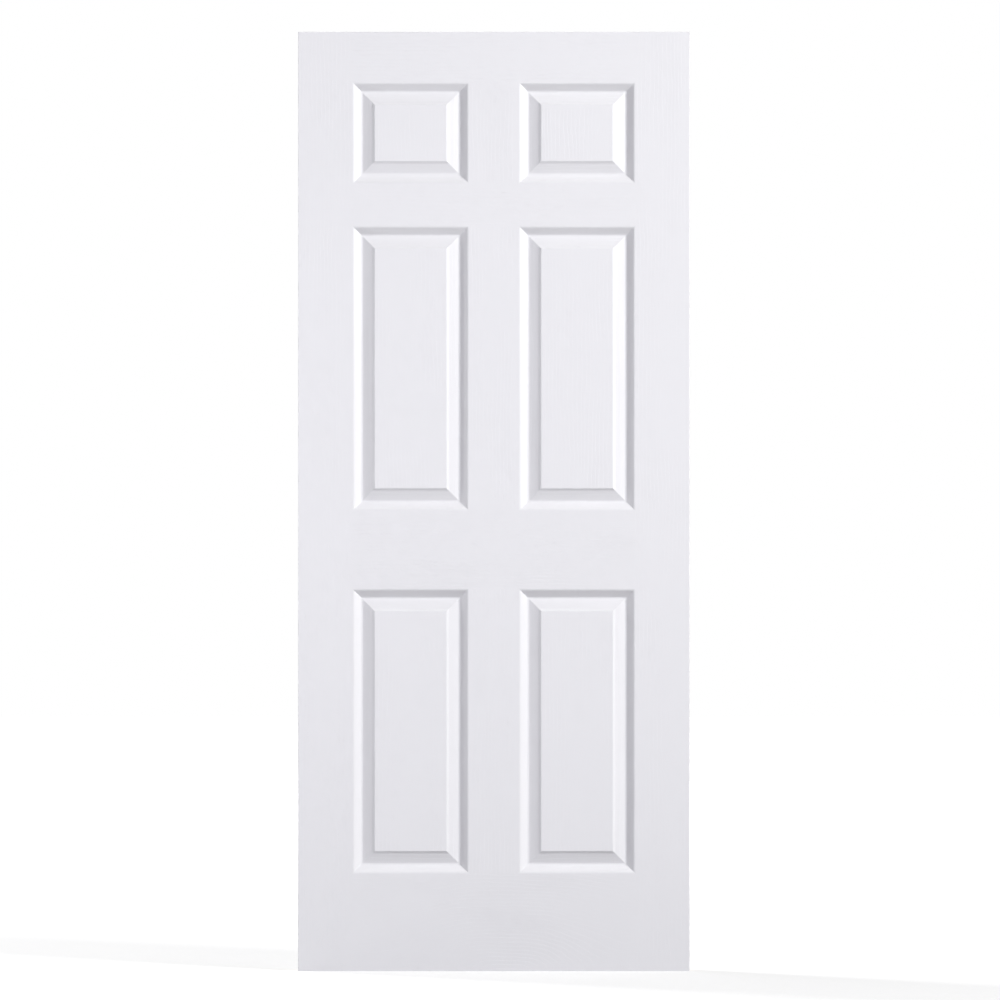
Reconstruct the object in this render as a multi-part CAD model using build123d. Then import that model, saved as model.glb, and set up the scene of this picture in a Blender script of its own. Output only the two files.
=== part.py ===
from build123d import *
import os
from math import radians, tan

# A six-panel steel door leaf, in millimetres, as it stands: X runs across the leaf,
# Y from the front face to the back one, and Z up from the middle of the bottom edge.

# The leaf
leaf_width = 847.0
leaf_height = 2032.0
leaf_thickness = 44.5

# The flat margins of each face, named as on a framed door
stile_face = 116.8
mullion_face = 106.7
top_rail_face = 108.5
frieze_rail_face = 90.9
lock_rail_face = 167.7
bottom_rail_face = 210.6
top_panel_height = 220.0

# The skin: a galvanised steel sheet folded round both long edges
sheet = 0.6
bend_radius = 1.2
edge_return = 9.5
edge_lip = 5.0

# The moulding pressed round each panel: a roll, a slope down to a groove, a shallow
# bevel back up, and a small shoulder at the raised field. Its corners are then rounded.
press_land = 2.0
sticking_slope = 35.0
groove_depth = 12.0
bevel_width = 24.2
shoulder_rise = 3.5
shoulder_slope = 38.0
field_depth = 0.75
roll_radius = 10.0
groove_radius = 8.0
cove_radius = 16.0
arris_radius = 4.0

# The wooden frame inside
stile_width = 30.0
top_rail_height = 32.0
bottom_rail_height = 38.0
kerf_clearance = 0.4
sweep_kerf_width = 3.2
sweep_kerf_depth = 12.0
sweep_kerf_spacing = 22.0
lock_block_width = 64.0
lock_block_height = 368.0
lock_block_bottom = 790.0

# The staples that hold the frame until the core has set
staple_crown = 12.7
staple_leg = 19.0
staple_wire = 1.3
block_staple_inset = 50.0

# What follows from the sizes above
face_y = -leaf_thickness / 2
core_thickness = leaf_thickness - 2 * sheet
frame_inner_width = leaf_width - 2 * stile_width
panel_width = (leaf_width - 2 * stile_face - mullion_face) / 2
rails_face = top_rail_face + frieze_rail_face + lock_rail_face + bottom_rail_face
tall_panel_height = (leaf_height - rails_face - top_panel_height) / 2
bend_inside = bend_radius - sheet


def panels():
    """The six panels of a face, as (centre x, bottom z, height)."""
    middle_bottom = bottom_rail_face + tall_panel_height + lock_rail_face
    top_bottom = leaf_height - top_rail_face - top_panel_height
    rows = [
        (bottom_rail_face, tall_panel_height),
        (middle_bottom, tall_panel_height),
        (top_bottom, top_panel_height),
    ]
    column = (mullion_face + panel_width) / 2
    return [(x, bottom, height) for x in (-column, column) for bottom, height in rows]


def moulding_corners():
    """The moulding's corners before rounding, as (distance in from the panel's edge, depth)."""
    roll_run = roll_radius * tan(radians(sticking_slope) / 2)
    groove = roll_run + groove_depth / tan(radians(sticking_slope))
    foot = groove + bevel_width
    brow = foot + shoulder_rise / tan(radians(shoulder_slope))
    end = brow + arris_radius * tan(radians(shoulder_slope) / 2) + press_land
    return [
        (-press_land, 0),
        (roll_run, 0),
        (groove, groove_depth),
        (foot, field_depth + shoulder_rise),
        (brow, field_depth),
        (end, field_depth),
    ]


def moulding_line():
    """The moulding's outside line, with X inward from the panel's edge and the face at Y zero."""
    points = [(inward, -depth) for inward, depth in moulding_corners()]
    radii = [roll_radius, groove_radius, cove_radius, arris_radius]
    return Wire(FilletPolyline(*points, radius=radii).edges())


def thickened(line):
    """The section of a sheet that has this line as its outside."""
    return Face(line.offset_2d(sheet, side=Side.RIGHT, closed=True))


def inner_section():
    """The section between the face's plane and the inside of the moulding's sheet."""
    inner = moulding_line().offset_2d(sheet, side=Side.RIGHT, closed=False)
    first, *_, last = moulding_corners()
    cap = Polyline((first[0], -sheet), (first[0], 0), (last[0], 0), (last[0], -field_depth - sheet))
    return Face(Wire(inner.edges() + cap.edges()))


def swept_round_panel(section, height):
    """A moulding section swept, with mitred corners, round a panel that stands on the origin."""
    side = panel_width / 2
    corners = [(0, 0), (side, 0), (side, height), (-side, height), (-side, 0), (0, 0)]
    path = Wire(Polyline(*[(x, 0, z) for x, z in corners]).edges())
    across_path = Plane(origin=(0, 0, 0), x_dir=(0, 0, 1), z_dir=(1, 0, 0))
    return sweep(across_path * section, path=path, transition=Transition.RIGHT)


def panel_plate(inset, height, outside, thickness):
    """A flat plate inset from a panel's edges, its outside at a depth below the face."""
    width = panel_width - 2 * inset
    middle = Pos(0, outside + thickness / 2, height / 2)
    return middle * Box(width, thickness, height - 2 * inset)


def pressed_skin():
    """The front skin: a folded blank with six raised panels pressed into it."""
    edge = leaf_width / 2
    fold = face_y + edge_return
    outside = FilletPolyline(
        (-edge + edge_lip, fold),
        (-edge, fold),
        (-edge, face_y),
        (edge, face_y),
        (edge, fold),
        (edge - edge_lip, fold),
        radius=bend_radius,
    )
    blank = Wire(outside.edges()).offset_2d(sheet, side=Side.LEFT, closed=True)
    skin = extrude(Face(blank), leaf_height)
    moulding = thickened(moulding_line())
    field_inset = moulding_corners()[-1][0]
    for x, bottom, height in panels():
        place = Pos(x, face_y, bottom)
        skin -= place * panel_plate(-press_land, height, 0, sheet)
        skin += place * swept_round_panel(moulding, height)
        skin += place * panel_plate(field_inset, height, field_depth, sheet)
    return skin


def panel_hollow(height):
    """All that one pressed panel takes up behind the face's plane."""
    inset = moulding_corners()[-1][0]
    field = panel_plate(inset, height, 0, field_depth + sheet)
    return swept_round_panel(inner_section(), height) + field


def staple(x, z):
    """A staple driven into the front of the frame, its crown across x, flush with the wood."""
    inside = staple_crown - 2 * staple_wire
    outer = Box(staple_crown, staple_leg, staple_wire)
    inner = Pos(0, staple_wire, 0) * Box(inside, staple_leg, staple_wire)
    return Pos(x, face_y + sheet + staple_leg / 2, z) * (outer - inner)


def staples():
    """The staples, at the four corners and along the lock block, on both faces."""
    joint = frame_inner_width / 2
    top = leaf_height - top_rail_height / 2
    corners = [(x, z) for x in (-joint, joint) for z in (bottom_rail_height / 2, top)]
    low = lock_block_bottom + block_staple_inset
    high = lock_block_bottom + lock_block_height - block_staple_inset
    front = [staple(x, z) for x, z in corners + [(joint, low), (joint, high)]]
    return front + [mirror(one, about=Plane.XZ) for one in front]


def edge_stile():
    """The stile on the left edge, rebated and kerfed for the skins' folded edges."""
    edge = -leaf_width / 2
    kerf_bottom = edge + edge_lip + kerf_clearance
    kerf_front = face_y + edge_return - sheet
    kerf_back = face_y + edge_return + kerf_clearance
    front_half = [
        (edge + stile_width, face_y + sheet),
        (edge + sheet, face_y + sheet),
        (edge + sheet, kerf_front),
        (kerf_bottom, kerf_front),
        (kerf_bottom, kerf_back),
        (edge, kerf_back),
    ]
    front_radii = [0, bend_inside, bend_inside, 0, 0, 0]
    back_half = [(x, -y) for x, y in reversed(front_half)]
    radii = front_radii + front_radii[::-1]
    outline = FilletPolyline(*front_half, *back_half, radius=radii, close=True)
    return extrude(make_face(outline), leaf_height)


def between_stiles(bottom, top):
    """A block that fills the frame's width and thickness between two heights."""
    height = top - bottom
    return Pos(0, 0, bottom + height / 2) * Box(frame_inner_width, core_thickness, height)


def kerfed_bottom_rail():
    """The bottom rail, with the two kerfs that take the barbs of a door sweep."""
    rail = between_stiles(0, bottom_rail_height)
    for y in (-sweep_kerf_spacing / 2, sweep_kerf_spacing / 2):
        kerf = Box(frame_inner_width, sweep_kerf_width, sweep_kerf_depth)
        rail -= Pos(0, y, sweep_kerf_depth / 2) * kerf
    return rail


def block_for_lock():
    """The solid wood beside the lock stile that a lock's bores would be cut through."""
    x = (frame_inner_width - lock_block_width) / 2
    z = lock_block_bottom + lock_block_height / 2
    return Pos(x, 0, z) * Box(lock_block_width, core_thickness, lock_block_height)


def foamed_core(lock_block):
    """The foam that fills all the frame and the skins leave, cast round the lock block."""
    core = between_stiles(bottom_rail_height, leaf_height - top_rail_height) - lock_block
    for x, bottom, height in panels():
        front = Pos(x, face_y, bottom) * panel_hollow(height)
        core -= front
        core -= Rot(0, 0, 180) * front
    return core


fasteners = staples()
front_skin = pressed_skin()
left_stile = edge_stile()
lock_block = block_for_lock()

parts = {
    "front_skin": front_skin,
    "back_skin": Rot(0, 0, 180) * front_skin,
    "hinge_stile": left_stile - fasteners,
    "lock_stile": mirror(left_stile, about=Plane.YZ) - fasteners,
    "top_rail": between_stiles(leaf_height - top_rail_height, leaf_height) - fasteners,
    "bottom_rail": kerfed_bottom_rail() - fasteners,
    "lock_block": lock_block - fasteners,
    "foam_core": foamed_core(lock_block),
    "frame_staples": Compound(fasteners),
}

os.makedirs("parts", exist_ok=True)
for name, solid in parts.items():
    export_step(solid, f"parts/{name}.step")
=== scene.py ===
import math

import bpy
from mathutils import Matrix, Vector


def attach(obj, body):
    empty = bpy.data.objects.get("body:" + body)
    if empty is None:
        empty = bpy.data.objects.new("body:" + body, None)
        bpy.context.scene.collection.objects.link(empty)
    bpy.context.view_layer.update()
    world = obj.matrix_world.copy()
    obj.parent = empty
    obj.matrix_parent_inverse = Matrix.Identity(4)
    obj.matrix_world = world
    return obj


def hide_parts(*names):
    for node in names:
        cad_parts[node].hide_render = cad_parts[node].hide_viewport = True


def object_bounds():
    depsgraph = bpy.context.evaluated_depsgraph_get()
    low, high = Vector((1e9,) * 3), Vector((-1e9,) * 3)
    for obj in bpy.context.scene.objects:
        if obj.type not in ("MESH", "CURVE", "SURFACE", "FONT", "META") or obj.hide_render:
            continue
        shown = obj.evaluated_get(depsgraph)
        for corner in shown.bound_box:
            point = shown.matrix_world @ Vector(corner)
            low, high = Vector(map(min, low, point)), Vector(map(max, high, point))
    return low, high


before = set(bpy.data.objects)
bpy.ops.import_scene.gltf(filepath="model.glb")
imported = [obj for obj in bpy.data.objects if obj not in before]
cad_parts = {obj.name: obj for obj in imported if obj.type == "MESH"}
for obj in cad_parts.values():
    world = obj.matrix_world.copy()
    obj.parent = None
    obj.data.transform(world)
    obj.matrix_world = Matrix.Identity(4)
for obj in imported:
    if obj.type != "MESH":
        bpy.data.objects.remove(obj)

cad_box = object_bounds()


# The wooden frame inside the leaf: two full-height stiles, a top and a bottom rail and a
# lock block, sawn from clear softwood and left bare. The steel folds into their edges, so
# only the stiles' edges and the ends of the frame are ever seen.

def feed(value, socket):
    """Gives a node's input a plain value, or joins another node's output to it."""
    value = getattr(value, "socket", value)
    if isinstance(value, bpy.types.NodeSocket):
        socket.id_data.links.new(value, socket)
    else:
        socket.default_value = value


def add_node(tree, kind, inputs=(), **settings):
    """A new node with its settings made and its inputs fed, by name or by place."""
    made = tree.nodes.new(kind)
    for name, value in settings.items():
        setattr(made, name, value)
    for name, value in dict(inputs).items():
        feed(value, made.inputs[name])
    return made


class Number:
    """A number that a node tree works out: each sum on it adds a Math node."""

    def __init__(self, socket):
        self.socket = socket

    def worked(self, operation, *others):
        """The result of a Math node on this number and the others that it needs."""
        made = add_node(self.socket.id_data, "ShaderNodeMath", operation=operation)
        for value, into in zip((self, *others), made.inputs):
            feed(value, into)
        return Number(made.outputs[0])

    def __add__(self, other):
        return self.worked("ADD", other)

    def __sub__(self, other):
        return self.worked("SUBTRACT", other)

    def __mul__(self, other):
        return self.worked("MULTIPLY", other)

    def __truediv__(self, other):
        return self.worked("DIVIDE", other)

    def squared(self):
        return self.worked("POWER", 2.0)

    def floor(self):
        return self.worked("FLOOR")

    def remainder(self, divisor):
        return self.worked("MODULO", divisor)

    def equals(self, whole):
        """One where this whole number is the other, and nought elsewhere."""
        return self.worked("COMPARE", whole, 0.1)

    def between(self, low, high):
        """Carries nought to the low value and one to the high one."""
        return self * (high - low) + low


def new_finish(name, **shader_values):
    """A material with its Principled shader's plain values set, and that shader's inputs."""
    finish = bpy.data.materials.new(name)
    finish.use_nodes = True
    shader = finish.node_tree.nodes["Principled BSDF"]
    for socket, value in shader_values.items():
        shader.inputs[socket.replace("_", " ")].default_value = value
    return finish, finish.node_tree, shader.inputs


def noise(tree, where, scale, detail=2.0, fineness=(1, 1, 1), roughness=0.5):
    """A noise from 0 to 1 about 0.5. A fineness under 1 draws it out along that axis."""
    placed = add_node(tree, "ShaderNodeMapping", {"Vector": where, "Scale": fineness})
    made = add_node(
        tree,
        "ShaderNodeTexNoise",
        {"Vector": placed.outputs[0], "Scale": scale, "Detail": detail, "Roughness": roughness},
    )
    return Number(made.outputs[0])


def colour_ramp(tree, amount, stops):
    """A colour that an amount picks along a ramp, given as positions with their colours."""
    ramp = add_node(tree, "ShaderNodeValToRGB", {"Fac": amount})
    marks = ramp.color_ramp.elements
    while len(marks) < len(stops):
        marks.new(1.0)
    for mark, (position, colour) in zip(marks, stops):
        mark.position = position
        mark.color = (*colour, 1)
    return ramp.outputs[0]


def mixed_colour(tree, amount, base, other):
    """A colour with so much of another mixed in. The Mix node's sockets go by their places."""
    factor, first, second, result = 0, 6, 7, 2
    mix = add_node(
        tree,
        "ShaderNodeMix",
        {factor: amount, first: base, second: (*other, 1)},
        data_type="RGBA",
    )
    return mix.outputs[result]


def bump(tree, shader, height, distance, strength=1.0):
    """Shades the surface as if raised by the height, in units of the distance in metres."""
    made = add_node(
        tree, "ShaderNodeBump", {"Height": height, "Distance": distance, "Strength": strength}
    )
    feed(made.outputs[0], shader["Normal"])


def bare_pine(name, grain_axis, heart):
    """Sawn pine, with rings round a heart along the grain axis, at two other coordinates."""
    finish, tree, shader = new_finish(name, Specular_IOR_Level=0.25)
    early, middle, late = (0.72, 0.50, 0.29), (0.68, 0.45, 0.24), (0.52, 0.29, 0.12)
    end_grain, end_darkening = (0.36, 0.20, 0.09), 0.45
    ring_width, ring_wander, ring_height = 0.0034, 0.03, 0.3
    fibre_contrast, mottle_contrast = 0.25, 0.2
    where = add_node(tree, "ShaderNodeTexCoord")
    sides = add_node(tree, "ShaderNodeSeparateXYZ", {"Vector": where.outputs["Object"]}).outputs
    facing = add_node(tree, "ShaderNodeSeparateXYZ", {"Vector": where.outputs["Normal"]}).outputs
    if grain_axis == "Z":
        across, deep, along, end_on = sides["X"], sides["Y"], sides["Z"], facing["Z"]
    else:
        across, deep, along, end_on = sides["Z"], sides["Y"], sides["X"], facing["X"]
    turned = add_node(tree, "ShaderNodeCombineXYZ", {"X": across, "Y": deep, "Z": along})
    wander = noise(tree, turned.outputs[0], scale=5.0, fineness=(1, 1, 0.22))
    from_heart = (Number(across) - heart[0]).squared() + (Number(deep) - heart[1]).squared()
    radius = from_heart.worked("SQRT") + wander * ring_wander
    ring = (radius / ring_width).worked("FRACT")
    fibre = noise(tree, turned.outputs[0], scale=900.0, fineness=(1, 1, 0.02))
    mottle = noise(tree, turned.outputs[0], scale=30.0, detail=3.0, fineness=(1, 1, 0.1))
    shade = ring + (fibre - 0.5) * fibre_contrast + (mottle - 0.5) * mottle_contrast
    colour = colour_ramp(tree, shade, [(0.0, early), (0.55, middle), (0.86, late), (1.0, early)])
    is_end = Number(end_on).worked("ABSOLUTE").worked("GREATER_THAN", 0.5)
    feed(mixed_colour(tree, is_end * end_darkening, colour, end_grain), shader["Base Color"])
    feed(mottle.between(0.55, 0.75), shader["Roughness"])
    bump(tree, shader, fibre + ring * ring_height, distance=0.00025, strength=0.6)
    return finish


# Each board's grain axis, and where its heart lies: across the grain, then in thickness
frame_grain = {
    "hinge_stile": ("Z", (-0.47, 0.035)),
    "lock_stile": ("Z", (0.36, -0.045)),
    "top_rail": ("X", (2.07, 0.02)),
    "bottom_rail": ("X", (-0.05, -0.03)),
    "lock_block": ("Z", (0.30, 0.05)),
}
for node_name, (grain_axis, heart) in frame_grain.items():
    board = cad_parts[node_name]
    board.material_slots[0].material = bare_pine("pine_" + node_name, grain_axis, heart)


# The core: rigid polyurethane foam, poured between the skins and set there, which glues
# the leaf together. It is pale straw, with fine closed cells and a few larger blowholes.

def rigid_foam():
    finish, tree, shader = new_finish("rigid_foam", Specular_IOR_Level=0.2)
    pit_reach, cell_height = 0.35, 0.4
    where = add_node(tree, "ShaderNodeTexCoord").outputs["Object"]
    cells = add_node(tree, "ShaderNodeTexVoronoi", {"Vector": where, "Scale": 650.0})
    blowholes = add_node(tree, "ShaderNodeTexVoronoi", {"Vector": where, "Scale": 90.0})
    pits = Number(blowholes.outputs["Distance"]).worked("MINIMUM", pit_reach)
    tint = noise(tree, where, scale=14.0, detail=3.0)
    colour = colour_ramp(tree, tint, [(0.3, (0.80, 0.70, 0.42)), (0.7, (0.88, 0.80, 0.55))])
    feed(colour, shader["Base Color"])
    feed(tint.between(0.8, 0.95), shader["Roughness"])
    height = Number(cells.outputs["Distance"]) * cell_height + pits
    bump(tree, shader, height, distance=0.0008)
    return finish


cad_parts["foam_core"].material_slots[0].material = rigid_foam()


# The staples: galvanised steel wire, driven flush across each joint of the wooden frame on
# both sides to hold it square until the foam has set.

def galvanised_wire():
    finish, tree, shader = new_finish("galvanised_wire", Metallic=1.0)
    where = add_node(tree, "ShaderNodeTexCoord").outputs["Object"]
    bloom = noise(tree, where, scale=900.0, detail=3.0)
    colour = colour_ramp(tree, bloom, [(0.3, (0.46, 0.47, 0.48)), (0.7, (0.66, 0.67, 0.68))])
    feed(colour, shader["Base Color"])
    feed(bloom.between(0.25, 0.55), shader["Roughness"])
    bump(tree, shader, bloom, distance=0.00005)
    return finish


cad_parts["frame_staples"].material_slots[0].material = galvanised_wire()


# The two skins: galvanised steel sheet, pressed in one stroke with six raised panels and a
# faint wood grain, folded round both long edges into the stiles' kerfs, and factory painted
# a cool satin white. The back skin is the front one turned round.

leaf_width, leaf_thickness, leaf_height = (round(b - a, 6) for a, b in zip(*cad_box))
skin_sizes = {
    "Leaf width": leaf_width,
    "Leaf height": leaf_height,
    "Leaf thickness": leaf_thickness,
    "Stile face": 0.1168,
    "Mullion face": 0.1067,
    "Top rail face": 0.1085,
    "Frieze rail face": 0.0909,
    "Lock rail face": 0.1677,
    "Bottom rail face": 0.2106,
    "Top panel height": 0.220,
    "Edge return": 0.0095,
    "Edge lip": 0.005,
    "Bend radius": 0.0012,
    "Press land": 0.002,
    "Sticking slope": math.radians(35.0),
    "Groove depth": 0.012,
    "Bevel width": 0.0242,
    "Shoulder rise": 0.0035,
    "Shoulder slope": math.radians(38.0),
    "Field depth": 0.00075,
    "Roll radius": 0.010,
    "Groove radius": 0.008,
    "Cove radius": 0.016,
    "Arris radius": 0.004,
    "First board": 0.0,
}
steel_thickness = 0.0006

# The boards of the pressed grain are numbered: a rail by its level from the foot, the others
# from these numbers up, and the back's all over again from its own
mullion_boards, stile_boards, field_boards, moulding_boards = 10.0, 20.0, 30.0, 40.0
back_boards = 60.0


def pick(tree, index, values):
    """The one of these values whose place in the list, from nought, the index gives."""
    switch = add_node(tree, "GeometryNodeIndexSwitch", data_type="FLOAT")
    while len(switch.index_switch_items) < len(values):
        switch.index_switch_items.new()
    feed(index, switch.inputs[0])
    for value, into in zip(values, list(switch.inputs)[1:]):
        feed(value, into)
    return Number(switch.outputs[0])


def set_points(tree, geometry, x, y, z):
    """Moves each point of a geometry to the place that its number gives."""
    place = add_node(tree, "ShaderNodeCombineXYZ", {"X": x, "Y": y, "Z": z})
    moved = add_node(
        tree, "GeometryNodeSetPosition", {"Geometry": geometry, "Position": place.outputs[0]}
    )
    return moved.outputs[0]


def rounded_line(tree, corners, radii, segments):
    """A line through flat corners, rounded to a radius at each, and how many points it has."""
    index = add_node(tree, "GeometryNodeInputIndex").outputs[0]
    straight = add_node(tree, "GeometryNodeCurvePrimitiveLine").outputs[0]
    cut = add_node(
        tree, "GeometryNodeResampleCurve", {"Curve": straight, "Count": len(corners)}, mode="COUNT"
    )
    x = pick(tree, index, [corner[0] for corner in corners])
    y = pick(tree, index, [corner[1] for corner in corners])
    laid = set_points(tree, cut.outputs[0], x, y, 0.0)
    radius = pick(tree, index, [0.0, *radii, 0.0])
    rounded = add_node(
        tree,
        "GeometryNodeFilletCurve",
        {"Curve": laid, "Count": segments, "Radius": radius},
        mode="POLY",
    ).outputs[0]
    counted = add_node(
        tree, "GeometryNodeAttributeDomainSize", {"Geometry": rounded}, component="CURVE"
    )
    return rounded, Number(counted.outputs["Point Count"])


def along_line(tree, line, station):
    """The two coordinates of a line's point, counted from nought."""
    position = add_node(tree, "GeometryNodeInputPosition").outputs[0]
    found = add_node(
        tree,
        "GeometryNodeSampleIndex",
        {"Geometry": line, "Value": position, "Index": station},
        data_type="FLOAT_VECTOR",
    )
    parts = add_node(tree, "ShaderNodeSeparateXYZ", {"Vector": found.outputs[0]}).outputs
    return Number(parts["X"]), Number(parts["Y"])


def mesh_grid(tree, columns, rows):
    """A grid whose points are numbered up each column in turn."""
    return add_node(
        tree, "GeometryNodeMeshGrid", {"Vertices X": columns, "Vertices Y": rows}
    ).outputs["Mesh"]


def mark_faces(tree, geometry, **values):
    """Writes numbers on the faces, for the grain to be laid by."""
    for name, value in values.items():
        geometry = add_node(
            tree,
            "GeometryNodeStoreNamedAttribute",
            {"Geometry": geometry, "Name": name, "Value": value},
            data_type="FLOAT",
            domain="FACE",
        ).outputs[0]
    return geometry


def on_six_panels(tree, mesh):
    """Six of a mesh in one place, to be moved to the panels by their points' numbers."""
    points = add_node(tree, "GeometryNodePoints", {"Count": 6}).outputs[0]
    placed = add_node(
        tree, "GeometryNodeInstanceOnPoints", {"Points": points, "Instance": mesh}
    ).outputs[0]
    return add_node(tree, "GeometryNodeRealizeInstances", {"Geometry": placed}).outputs[0]


def pressed_skin_tree():
    """The tree that presses a front skin from the sizes above, as a sheet with no thickness."""
    tree = bpy.data.node_groups.new("pressed_skin", "GeometryNodeTree")
    tree.is_modifier = True
    for name in skin_sizes:
        tree.interface.new_socket(name, in_out="INPUT", socket_type="NodeSocketFloat")
    tree.interface.new_socket("Paint", in_out="INPUT", socket_type="NodeSocketMaterial")
    tree.interface.new_socket("Skin", in_out="OUTPUT", socket_type="NodeSocketGeometry")
    given = tree.nodes.new("NodeGroupInput").outputs
    size = {name: Number(given[name]) for name in skin_sizes}
    index = Number(add_node(tree, "GeometryNodeInputIndex").outputs[0])

    # Lines that divide the face into margins and panels
    half_width = size["Leaf width"] * 0.5
    face_y = size["Leaf thickness"] * -0.5
    inner_stile = half_width - size["Stile face"]
    half_mullion = size["Mullion face"] * 0.5
    fold_start = half_width - size["Bend radius"]
    x_lines = [
        fold_start * -1.0,
        inner_stile * -1.0,
        half_mullion * -1.0,
        half_mullion,
        inner_stile,
        fold_start,
    ]
    low = size["Bottom rail face"]
    top_panel_top = size["Leaf height"] - size["Top rail face"]
    top_panel_foot = top_panel_top - size["Top panel height"]
    middle_top = top_panel_foot - size["Frieze rail face"]
    tall = (middle_top - low - size["Lock rail face"]) * 0.5
    low_top = low + tall
    middle_foot = low_top + size["Lock rail face"]
    z_lines = [
        0.0,
        low,
        low_top,
        middle_foot,
        middle_top,
        top_panel_foot,
        top_panel_top,
        size["Leaf height"],
    ]

    # The flat margins: the stiles, the rails and the mullion's three lengths. Bays are
    # counted across, with a stile at each end, and levels up from the bottom rail.
    columns, rows = len(x_lines), len(z_lines)
    across = pick(tree, (index / rows).floor(), x_lines)
    up = pick(tree, index.remainder(rows), z_lines)
    margins = set_points(tree, mesh_grid(tree, columns, rows), across, face_y, up)
    levels, mullion_bay, last_bay = rows - 1, 2.0, columns - 2
    bay = (index / levels).floor()
    level = index.remainder(levels)
    is_mullion = bay.equals(mullion_bay) * level.remainder(2.0)
    is_stile = bay.remainder(last_bay).equals(0.0)
    level_board = is_mullion * mullion_boards + level
    margins = mark_faces(
        tree,
        margins,
        upright=is_mullion.worked("MAXIMUM", is_stile),
        board=(is_stile * (bay + stile_boards)).worked("MAXIMUM", level_board),
        fold=0.0,
    )
    margins = add_node(
        tree,
        "GeometryNodeDeleteGeometry",
        {"Geometry": margins, "Selection": bay.remainder(2.0) * level.remainder(2.0)},
        domain="FACE",
    ).outputs[0]

    # The moulding's outside line, from the panel's edge inward and down from the face
    slope = size["Sticking slope"].worked("TANGENT")
    roll_run = size["Roll radius"] * (size["Sticking slope"] * 0.5).worked("TANGENT")
    groove = roll_run + size["Groove depth"] / slope
    foot = groove + size["Bevel width"]
    brow = foot + size["Shoulder rise"] / size["Shoulder slope"].worked("TANGENT")
    arris_run = size["Arris radius"] * (size["Shoulder slope"] * 0.5).worked("TANGENT")
    field_inset = brow + arris_run + size["Press land"]
    field_depth = size["Field depth"]
    moulding, stations = rounded_line(
        tree,
        [
            (0.0, 0.0),
            (roll_run, 0.0),
            (groove, size["Groove depth"]),
            (foot, field_depth + size["Shoulder rise"]),
            (brow, field_depth),
            (field_inset, field_depth),
        ],
        [size[name] for name in ("Roll radius", "Groove radius", "Cove radius", "Arris radius")],
        segments=12,
    )

    # The six panels, two across and three up
    panel_half_width = (inner_stile - half_mullion) * 0.5
    short_half = size["Top panel height"] * 0.5
    row_middles = [low + tall * 0.5, middle_foot + tall * 0.5, top_panel_foot + short_half]

    def in_panel(panel, toward_x, toward_z, inset):
        """A place in a panel: toward one of its sides each way, that far in from them."""
        middle_x = (panel.remainder(2.0) * 2.0 - 1.0) * (half_mullion + panel_half_width)
        storey = (panel / 2.0).floor()
        half_height = pick(tree, storey, [tall * 0.5, tall * 0.5, short_half])
        x = middle_x + toward_x * (panel_half_width - inset)
        z = pick(tree, storey, row_middles) + toward_z * (half_height - inset)
        return x, z

    # The moulding round each panel: four corners and the first again, at each station inward.
    # Its sides in turn are the left, the top, the right and the bottom.
    corners_x, corners_z = [-1.0, -1.0, 1.0, 1.0, -1.0], [-1.0, 1.0, 1.0, -1.0, -1.0]
    corners = len(corners_x)
    ring_points = stations * corners
    in_ring = index.remainder(ring_points)
    corner = in_ring.remainder(corners)
    inset, depth = along_line(tree, moulding, (in_ring / corners).floor())
    toward_x, toward_z = pick(tree, corner, corners_x), pick(tree, corner, corners_z)
    x, z = in_panel((index / ring_points).floor(), toward_x, toward_z, inset)
    rings = on_six_panels(tree, mesh_grid(tree, stations, corners))
    rings = set_points(tree, rings, x, face_y + depth, z)
    side = index.remainder(corners - 1)
    upright = side.remainder(2.0) * -1.0 + 1.0
    rings = mark_faces(tree, rings, upright=upright, board=side + moulding_boards, fold=0.0)

    # The raised field inside each moulding
    corner = index.remainder(4.0)
    toward_x = pick(tree, corner, [-1.0, -1.0, 1.0, 1.0])
    toward_z = pick(tree, corner, [-1.0, 1.0, -1.0, 1.0])
    x, z = in_panel((index / 4.0).floor(), toward_x, toward_z, field_inset)
    fields = on_six_panels(tree, mesh_grid(tree, 2, 2))
    fields = set_points(tree, fields, x, face_y + field_depth, z)
    fields = mark_faces(tree, fields, upright=1.0, board=index + field_boards, fold=0.0)

    # The folded edge: round the bend, back along the stile and in to its kerf
    edge_line, edge_stations = rounded_line(
        tree,
        [
            (fold_start, 0.0),
            (half_width, 0.0),
            (half_width, size["Edge return"]),
            (half_width - size["Edge lip"], size["Edge return"]),
        ],
        [size["Bend radius"]] * 2,
        segments=6,
    )
    x, depth = along_line(tree, edge_line, (index / rows).floor())
    edge = set_points(tree, mesh_grid(tree, edge_stations, rows), x, face_y + depth, up)
    right = mark_faces(tree, edge, upright=1.0, board=stile_boards + last_bay, fold=1.0)
    left = add_node(tree, "GeometryNodeTransform", {"Geometry": edge, "Scale": (-1, 1, 1)})
    left = add_node(tree, "GeometryNodeFlipFaces", {"Mesh": left.outputs[0]}).outputs[0]
    left = mark_faces(tree, left, upright=1.0, board=stile_boards, fold=-1.0)

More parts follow.
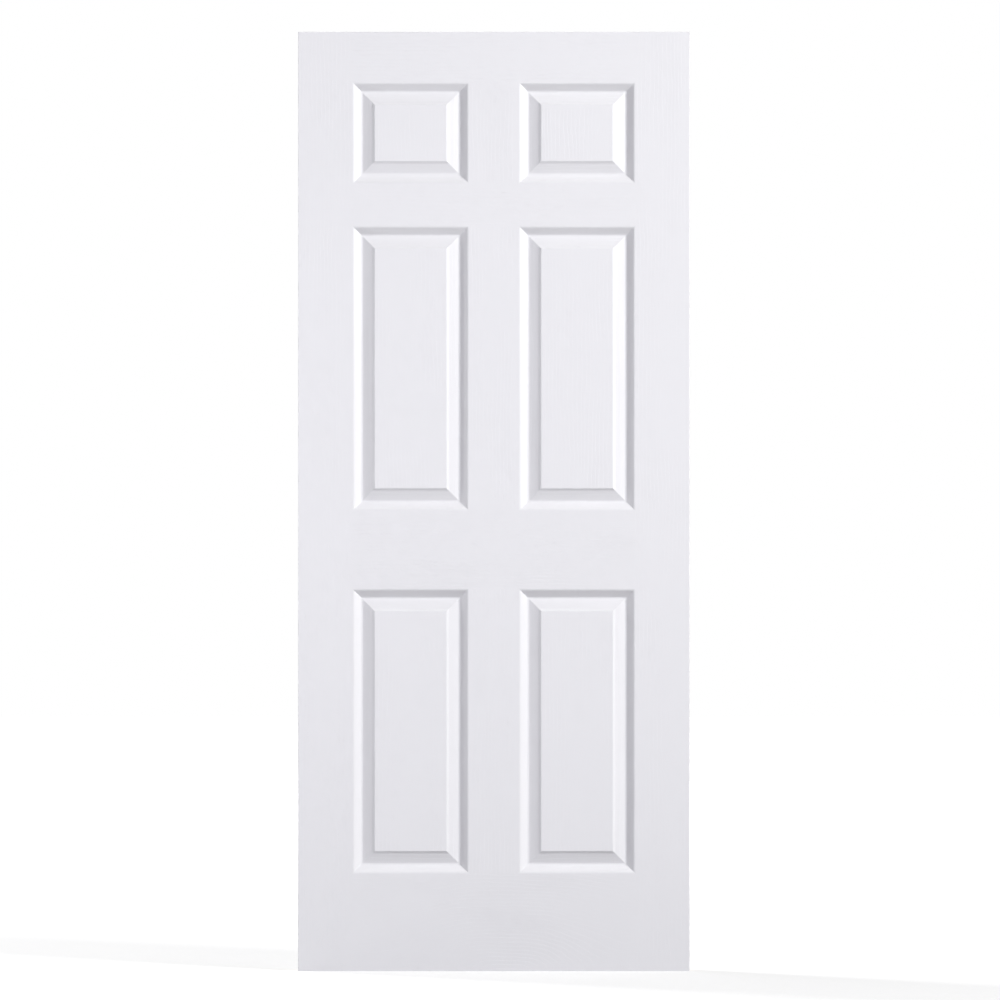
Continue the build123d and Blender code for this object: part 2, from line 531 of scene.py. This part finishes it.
    # One sheet, creased only at the mitres, whose edges alone run both across and up
    weld_gap, least_slant = 0.00002, 1e-10
    joined = tree.nodes.new("GeometryNodeJoinGeometry")
    for piece in (margins, rings, fields, right, left):
        feed(piece, joined.inputs[0])
    sheet = add_node(
        tree, "GeometryNodeMergeByDistance", {"Geometry": joined.outputs[0], "Distance": weld_gap}
    ).outputs[0]
    ends = add_node(tree, "GeometryNodeInputMeshEdgeVertices").outputs
    run = add_node(
        tree,
        "ShaderNodeVectorMath",
        {0: ends["Position 2"], 1: ends["Position 1"]},
        operation="SUBTRACT",
    )
    run = add_node(tree, "ShaderNodeSeparateXYZ", {"Vector": run.outputs[0]}).outputs
    slant = (Number(run["X"]) * run["Z"]).worked("ABSOLUTE")
    sheet = add_node(
        tree, "GeometryNodeSetShadeSmooth", {"Geometry": sheet, "Shade Smooth": True}, domain="FACE"
    ).outputs[0]
    sheet = add_node(
        tree,
        "GeometryNodeSetShadeSmooth",
        {
            "Geometry": sheet,
            "Selection": slant.worked("GREATER_THAN", least_slant),
            "Shade Smooth": False,
        },
        domain="EDGE",
    ).outputs[0]

    # The grain's own coordinates in metres: along each board, and across from its heart.
    # The front's bottom rail, board nought, has its heart at its foot, under the eye. Every
    # other board's is well outside it, each further off and further along than the last.
    eye_x, board_step_along, board_step_across, heart_gap = 0.022, 3.17, 0.37, 0.9

    def face_mark(name):
        read = add_node(tree, "GeometryNodeInputNamedAttribute", {"Name": name}, data_type="FLOAT")
        return Number(read.outputs[0])

    here = add_node(tree, "GeometryNodeInputPosition").outputs[0]
    here = add_node(tree, "ShaderNodeSeparateXYZ", {"Vector": here}).outputs
    x, z = Number(here["X"]), Number(here["Z"])
    upright, board = face_mark("upright"), face_mark("board") + size["First board"]
    along = x + upright * (z - x)
    across = z + upright * (x - z) + face_mark("fold") * (Number(here["Y"]) - face_y)
    is_other = board.worked("GREATER_THAN", 0.5)
    grain_along = along - eye_x + board * board_step_along
    grain_across = across + is_other * (board * board_step_across + heart_gap)
    grain_place = add_node(tree, "ShaderNodeCombineXYZ", {"X": grain_along, "Y": grain_across})
    sheet = add_node(
        tree,
        "GeometryNodeStoreNamedAttribute",
        {"Geometry": sheet, "Name": "grain", "Value": grain_place.outputs[0]},
        data_type="FLOAT2",
        domain="CORNER",
    ).outputs[0]

    realized = add_node(tree, "GeometryNodeRealizeInstances", {"Geometry": sheet}).outputs[0]
    painted = add_node(
        tree, "GeometryNodeSetMaterial", {"Geometry": realized, "Material": given["Paint"]}
    )
    result = tree.nodes.new("NodeGroupOutput")
    feed(painted.outputs[0], result.inputs[0])
    return tree


def satin_paint():
    """Cool white paint over a pressed-in grain of growth rings and short pores."""
    finish, tree, shader = new_finish("satin_white_paint", Specular_IOR_Level=0.5)
    place = add_node(tree, "ShaderNodeUVMap", uv_map="grain").outputs[0]
    where = add_node(tree, "ShaderNodeTexCoord").outputs["Object"]
    parts = add_node(tree, "ShaderNodeSeparateXYZ", {"Vector": place}).outputs
    along, across = Number(parts["X"]), Number(parts["Y"])

    # Rings that part round an eye in the front's bottom rail and are deepest there. They run
    # all but straight everywhere else, and come and go in patches.
    eye_length, eye_height, eye_depth = 0.15, 0.10, 0.35
    ring_width, ring_wander = 0.0085, 0.026
    swell = ((along / eye_length).squared() * -1.0).worked("EXPONENT")
    rise = (swell * -1.0 + 1.0) * eye_height
    wander = noise(tree, place, scale=15.0, detail=4.0, fineness=(0.3, 1, 1)) * ring_wander
    radius = (across.squared() + rise.squared()).worked("SQRT") + wander
    ring = (radius / ring_width).worked("FRACT")
    patches = noise(tree, place, scale=7.0, fineness=(0.4, 2.0, 1)).between(-0.95, 1.65)
    ring_depth = (patches + swell * eye_depth).worked("MAXIMUM", 0.0)

    # Short pores, deeper toward the outside of each ring, and the paint's own slight peel
    pore_level, pore_depth, peel_height = 0.56, 4.0, 0.03
    pores = noise(tree, place, scale=1.0, fineness=(45.0, 900.0, 1), roughness=0.6)
    pores = (pores - pore_level).worked("MAXIMUM", 0.0) * pore_depth * ring.between(0.2, 1.0)
    peel = noise(tree, where, scale=520.0, detail=1.0) * peel_height
    tint = noise(tree, where, scale=2.2)
    colour = colour_ramp(
        tree, tint, [(0.25, (0.800, 0.796, 0.812)), (0.75, (0.812, 0.807, 0.824))]
    )
    feed(colour, shader["Base Color"])
    gloss = noise(tree, where, scale=40.0, detail=3.0)
    feed(gloss.between(0.36, 0.48), shader["Roughness"])
    bump(tree, shader, ring * ring_depth - pores + peel, distance=0.0003, strength=0.9)
    return finish


paint = satin_paint()
skin_tree = pressed_skin_tree()
inputs = {
    item.name: item.identifier
    for item in skin_tree.interface.items_tree
    if item.in_out == "INPUT"
}
skins = {"front_skin": (0.0, 0.0), "back_skin": (math.pi, back_boards)}
for node_name, (turn, first_board) in skins.items():
    blank = bpy.data.objects.new(node_name + "_blank", bpy.data.meshes.new(node_name + "_blank"))
    bpy.context.scene.collection.objects.link(blank)
    pressing = blank.modifiers.new("Pressing", "NODES")
    pressing.node_group = skin_tree
    for name, value in {**skin_sizes, "First board": first_board, "Paint": paint}.items():
        pressing[inputs[name]] = value
    # The tree gives the outside of the sheet, so its thickness goes inward
    steel = blank.modifiers.new("Steel", "SOLIDIFY")
    steel.thickness = steel_thickness
    steel.offset = -1.0
    steel.use_even_offset = True
    shading = blank.modifiers.new("Shading", "WEIGHTED_NORMAL")
    shading.keep_sharp = True
    shading.weight = 100
    evaluated = blank.evaluated_get(bpy.context.evaluated_depsgraph_get())
    mesh = bpy.data.meshes.new_from_object(evaluated)
    bpy.data.objects.remove(blank)
    mesh.transform(Matrix.Rotation(turn, 4, "Z"))
    skin = bpy.data.objects.new("pressed_" + node_name, mesh)
    bpy.context.scene.collection.objects.link(skin)
    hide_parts(node_name)
    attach(skin, "root")


# The studio: a plain pale floor that runs out to white, a soft key lamp high on the right, a
# broad fill a little left of the lens, and a weak strip that grazes the face from the left and
# catches the slopes the key misses. A key and a fill stand behind for the leaf's other side.

def backdrop_ray(tree):
    """One for rays that see the backdrop, by eye or in gloss or glass, and nought for light."""
    path = add_node(tree, "ShaderNodeLightPath").outputs
    glossy_or_glass = Number(path["Is Glossy Ray"]).worked("MAXIMUM", path["Is Transmission Ray"])
    return glossy_or_glass.worked("MAXIMUM", path["Is Camera Ray"])


def pale_floor():
    """To the eye a near white that the door's shadow dims, running out to white far off."""
    finish = bpy.data.materials.new("pale_floor")
    finish.use_nodes = True
    tree = finish.node_tree
    tree.nodes.clear()
    near_reach, far_reach = 1.2, 5.0
    near_glow, far_glow = 0.59, 1.0
    bounce_grey, seen_grey = 0.2, 0.42
    where = add_node(tree, "ShaderNodeTexCoord").outputs["Object"]
    away = add_node(tree, "ShaderNodeVectorMath", {0: where}, operation="LENGTH")
    glow = add_node(
        tree,
        "ShaderNodeMapRange",
        {
            "Value": away.outputs["Value"],
            "From Min": near_reach,
            "From Max": far_reach,
            "To Min": near_glow,
            "To Max": far_glow,
        },
        interpolation_type="SMOOTHSTEP",
    )
    bounce = add_node(tree, "ShaderNodeBsdfDiffuse", {"Color": (*[bounce_grey] * 3, 1)})
    shade = add_node(tree, "ShaderNodeBsdfDiffuse", {"Color": (*[seen_grey] * 3, 1)})
    white = add_node(tree, "ShaderNodeEmission", {"Strength": glow.outputs[0]})
    seen = add_node(tree, "ShaderNodeAddShader", {0: shade.outputs[0], 1: white.outputs[0]})
    mixed = add_node(
        tree,
        "ShaderNodeMixShader",
        {0: backdrop_ray(tree), 1: bounce.outputs[0], 2: seen.outputs[0]},
    )
    add_node(tree, "ShaderNodeOutputMaterial", {"Surface": mixed.outputs[0]})
    return finish


floor_reach = 14.0
floor_mesh = bpy.data.meshes.new("floor")
floor_mesh.from_pydata(
    [(x * floor_reach, y * floor_reach, 0) for x, y in ((-1, -1), (1, -1), (1, 1), (-1, 1))],
    [],
    [(0, 1, 2, 3)],
)
floor_mesh.materials.append(pale_floor())
floor = bpy.data.objects.new("floor", floor_mesh)
bpy.context.scene.collection.objects.link(floor)

# The room, pure white to the eye and all but dark as a light
world = bpy.data.worlds.new("white_room")
world.use_nodes = True
bpy.context.scene.world = world
room = world.node_tree
room.nodes.clear()
room_light = 0.02
seen_white = backdrop_ray(room).worked("MAXIMUM", room_light)
air = add_node(room, "ShaderNodeBackground", {"Color": (1, 1, 1, 1), "Strength": seen_white})
add_node(room, "ShaderNodeOutputWorld", {"Surface": air.outputs[0]})

# Each lamp's place, its width and height in metres, its power in watts and its colour
lamp_white, lamp_cool = (1.0, 1.0, 1.0), (0.93, 0.925, 1.0)
lamps = {
    "key_lamp": ((6.0, -3.75, 4.75), (1.4, 1.4), 625.0, lamp_white),
    "front_fill": ((-1.95, -7.75, 1.1), (4.5, 1.4), 259.0, lamp_cool),
    "left_strip": ((-1.5, -0.2, 1.1), (0.12, 1.4), 4.4, lamp_white),
    "back_key": ((-6.0, 3.75, 4.75), (1.4, 1.4), 625.0, lamp_white),
    "back_fill": ((1.95, 7.75, 1.1), (4.5, 1.4), 259.0, lamp_cool),
}
lamp_target = Vector((0, 0, 1.0))
for lamp_name, (place, (wide, high), power, colour) in lamps.items():
    lamp = bpy.data.lights.new(lamp_name, "AREA")
    lamp.shape = "RECTANGLE"
    lamp.size = wide
    lamp.size_y = high
    lamp.energy = power
    lamp.color = colour
    stand = bpy.data.objects.new(lamp_name, lamp)
    stand.location = place
    aim = lamp_target - Vector(place)
    stand.rotation_euler = aim.to_track_quat("-Z", "Y").to_euler()
    bpy.context.scene.collection.objects.link(stand)

# A long lens, square on. The picture is 2.1635 m across at the leaf's face, and its middle is
# 13 mm right of the leaf's own.
view_width, view_distance = 2.1635, 12.0
view_x, view_z = 0.0133, 1.0193
lens = bpy.data.cameras.new("camera")
lens.sensor_width = 36.0
lens.lens = lens.sensor_width * view_distance / view_width
lens.dof.use_dof = False
camera = bpy.data.objects.new("camera", lens)
camera.location = (view_x, cad_box[0][1] - view_distance, view_z)
camera.rotation_euler = (math.pi / 2, 0, 0)
bpy.context.scene.collection.objects.link(camera)
bpy.context.scene.camera = camera
bpy.context.scene.view_settings.view_transform = "Standard"
